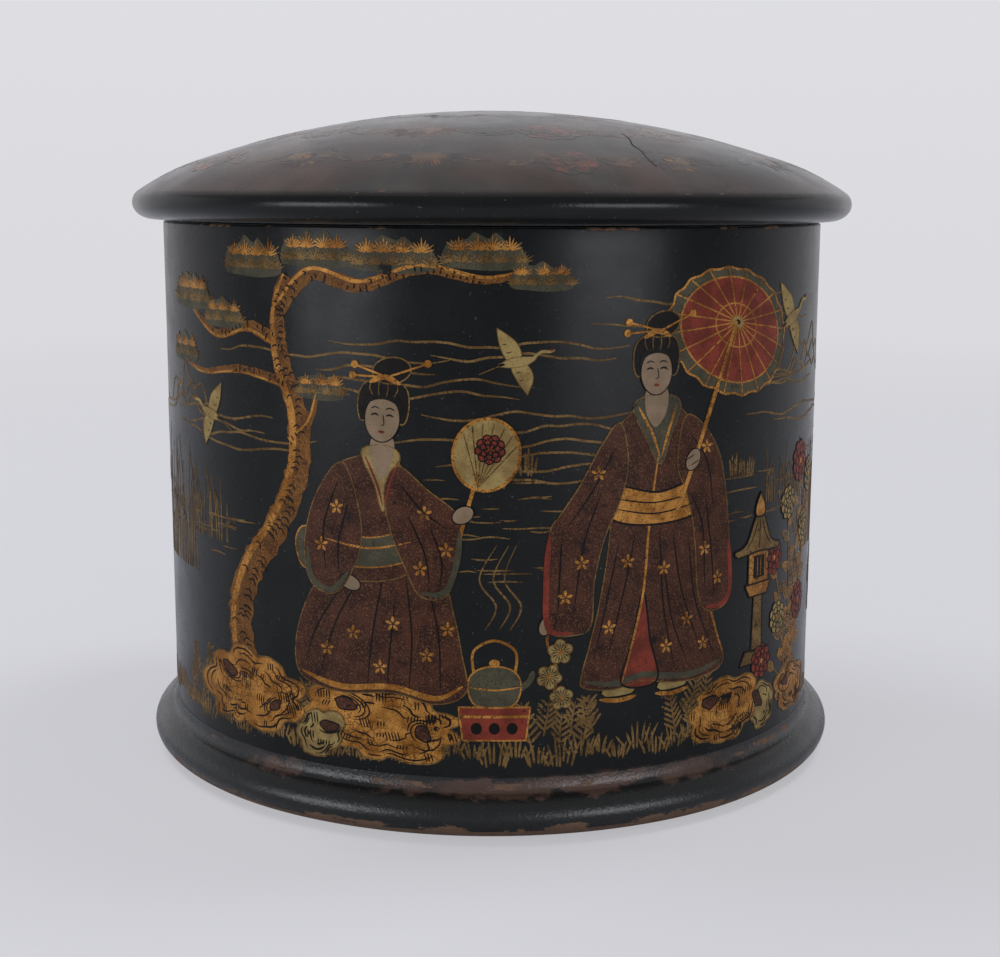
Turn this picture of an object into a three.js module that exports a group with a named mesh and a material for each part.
// A round papier-mache box with a domed lift-off lid.
// Millimetres, +Z up. The origin is the centre of the underside, on the surface that the box stands on.
// Every piece is turned about Z: its profile is a closed outline of [radius, height] points.
import * as THREE from "three";

// Facets and curve steps
const FACETS = 64;
const DOME_STEPS = 9;
const RIM_STEPS = 5;
const BEAD_STEPS = 5;
const SMALL_STEPS = 3;

// Fits between pieces
const GLUE_LINE = 0.15;
const SEAT_GAP = 0.3;
const COLLAR_CLEARANCE = 0.4;

// Body
const TUBE_RADIUS = 55;
const TUBE_WALL = 3;
const SEAT_HEIGHT = 88.5;
const BASE_THICKNESS = 1.3;
const BASE_EDGE_ROUND = 0.35;
const FLOOR_THICKNESS = 2;

// Foot moulding: a bead with a small cove above it that runs up to the wall.
// The bead's rounding is centred a little inside the wall's face.
const FOOT_OVERHANG = 3.8;
const BEAD_INSET = 0.8;
const BEAD_WIDEST_HEIGHT = 3.47;
const BEAD_RISE = 3.4;
const COVE_HEIGHT = 1.5;
const COVE_WIDTH = 1;
const FOOT_LIP = 0.2;

// Lid
const LID_OVERHANG = 4.9;
const LID_RISE = 17.85;
const RIM_WIDEST_RISE = 2.65;
const RIM_ROUND = 3.5;
const RIM_UNDERCUT = 3.4;
const DOME_THICKNESS = 2.8;
const COLLAR_WALL = 2.2;
const COLLAR_DEPTH = 9;

// Sizes that follow from the ones above
const QUARTER = Math.PI / 2;
const bore = TUBE_RADIUS - TUBE_WALL;
const gluedHeight = BASE_THICKNESS + GLUE_LINE;
const collarOuter = bore - COLLAR_CLEARANCE;
const collarInner = collarOuter - COLLAR_WALL;
const lidRadius = TUBE_RADIUS + LID_OVERHANG;

// The dome is part of a sphere that meets the rim's rounded edge without a corner.
const rimWidest = SEAT_HEIGHT + RIM_WIDEST_RISE;
const apex = SEAT_HEIGHT + LID_RISE;
const domeRise = apex - rimWidest;
const rimCentre = lidRadius - RIM_ROUND;
const domeSphere = (rimCentre ** 2 + domeRise ** 2 - RIM_ROUND ** 2) / (2 * (domeRise - RIM_ROUND));
const sphereHeight = apex - domeSphere;
const joinAngle = Math.acos(rimCentre / (domeSphere - RIM_ROUND));

const lacquer = new THREE.MeshStandardMaterial({ color: 0x14171a, roughness: 0.32, metalness: 0 });
const bareBoard = new THREE.MeshStandardMaterial({ color: 0x5a3a26, roughness: 0.8, metalness: 0 });
const innerLacquer = new THREE.MeshStandardMaterial({ color: 0x1b1614, roughness: 0.5, metalness: 0 });

// Points on an ellipse from one angle to another, both ends included.
function arc(centre, halfWidth, halfHeight, from, to, steps) {
  const points = [];
  for (let i = 0; i <= steps; i++) {
    const angle = from + ((to - from) * i) / steps;
    points.push([
      centre[0] + halfWidth * Math.cos(angle),
      centre[1] + halfHeight * Math.sin(angle),
    ]);
  }
  return points;
}

// Points on a hollow curve between two points, drawn in towards a corner.
function cove(start, corner, end, steps) {
  const curve = new THREE.QuadraticBezierCurve(
    new THREE.Vector2(...start),
    new THREE.Vector2(...corner),
    new THREE.Vector2(...end),
  );
  return curve.getPoints(steps).map((point) => [point.x, point.y]);
}

// A solid of revolution from an outline that runs counter-clockwise in [radius, height].
function turned(name, outline, material) {
  const points = outline.map(([radius, height]) => new THREE.Vector2(radius, height));
  const onAxis = points[0].x === 0 && points[points.length - 1].x === 0;
  if (!onAxis) points.push(points[0].clone());
  const geometry = new THREE.LatheGeometry(points, FACETS);
  geometry.rotateX(QUARTER);
  const mesh = new THREE.Mesh(geometry, material);
  mesh.name = name;
  return mesh;
}

// The outline of a plain ring with square corners.
const ring = (inner, outer, low, high) => [
  [inner, low],
  [outer, low],
  [outer, high],
  [inner, high],
];

// The flat board that closes the underside. The box rests on it.
function baseBoard() {
  const round = BASE_EDGE_ROUND;
  const outline = [
    [0, 0],
    ...arc([TUBE_RADIUS - round, round], round, round, -QUARTER, 0, SMALL_STEPS),
    [TUBE_RADIUS, BASE_THICKNESS],
    [0, BASE_THICKNESS],
  ];
  return turned("base_board", outline, bareBoard);
}

// The rolled wall of the box.
function bodyTube() {
  return turned("body_tube", ring(bore, TUBE_RADIUS, gluedHeight, SEAT_HEIGHT - SEAT_GAP), lacquer);
}

// The disc inside the tube that keeps it round and makes the floor.
function floorDisc() {
  const radius = bore - GLUE_LINE;
  const outline = [
    [0, gluedHeight],
    [radius, gluedHeight],
    [radius, gluedHeight + FLOOR_THICKNESS],
    [0, gluedHeight + FLOOR_THICKNESS],
  ];
  return turned("floor_disc", outline, innerLacquer);
}

// The bead and cove glued round the bottom of the tube and the edge of the base board.
function footRing() {
  const inner = TUBE_RADIUS + GLUE_LINE;
  const centre = [TUBE_RADIUS - BEAD_INSET, BEAD_WIDEST_HEIGHT];
  const width = FOOT_OVERHANG + BEAD_INSET;
  const lowAngle = Math.acos((inner - centre[0]) / width);
  const coveAngle = Math.acos((inner + FOOT_LIP + COVE_WIDTH - centre[0]) / width);
  const bead = [
    ...arc(centre, width, BEAD_WIDEST_HEIGHT, -lowAngle, 0, BEAD_STEPS),
    ...arc(centre, width, BEAD_RISE, 0, coveAngle, BEAD_STEPS).slice(1),
  ];
  const coveStart = bead[bead.length - 1];
  const coveEnd = [inner + FOOT_LIP, coveStart[1] + COVE_HEIGHT];
  const outline = [
    ...bead,
    ...cove(coveStart, [coveEnd[0], coveStart[1]], coveEnd, SMALL_STEPS).slice(1),
    [inner, coveEnd[1]],
  ];
  return turned("foot_ring", outline, lacquer);
}

// The pressed dome, an even sheet whose edge is glued into the rim.
function lidDome() {
  const underside = domeSphere - DOME_THICKNESS;
  const centre = [0, sphereHeight];
  const edge = joinAngle + GLUE_LINE / domeSphere;
  const outline = [
    ...arc(centre, underside, underside, QUARTER, edge, DOME_STEPS),
    ...arc(centre, domeSphere, domeSphere, edge, QUARTER, DOME_STEPS),
  ];
  outline[0][0] = 0;
  outline[outline.length - 1][0] = 0;
  return turned("lid_dome", outline, lacquer);
}

// The thick rounded rim under the dome's edge. Its flat underside is the lid's seat.
function lidRim() {
  const underDome = domeSphere - DOME_THICKNESS - GLUE_LINE;
  const innerAngle = Math.acos(collarInner / underDome);
  const lower = [lidRadius - RIM_UNDERCUT, rimWidest];
  const outline = [
    [collarInner, SEAT_HEIGHT],
    ...arc(lower, RIM_UNDERCUT, RIM_WIDEST_RISE, -QUARTER, 0, RIM_STEPS),
    ...arc([rimCentre, rimWidest], RIM_ROUND, RIM_ROUND, 0, joinAngle, RIM_STEPS).slice(1),
    ...arc([0, sphereHeight], underDome, underDome, joinAngle, innerAngle, SMALL_STEPS),
  ];
  return turned("lid_rim", outline, lacquer);
}

// The ring under the lid that drops into the mouth of the tube.
function lidCollar() {
  const outline = ring(collarInner, collarOuter, SEAT_HEIGHT - COLLAR_DEPTH, SEAT_HEIGHT - GLUE_LINE);
  return turned("lid_collar", outline, innerLacquer);
}

const body = new THREE.Group();
body.add(baseBoard(), bodyTube(), floorDisc(), footRing());

const lid = new THREE.Group();
lid.add(lidDome(), lidRim(), lidCollar());

const box = new THREE.Group();
box.add(body, lid);

export default box;
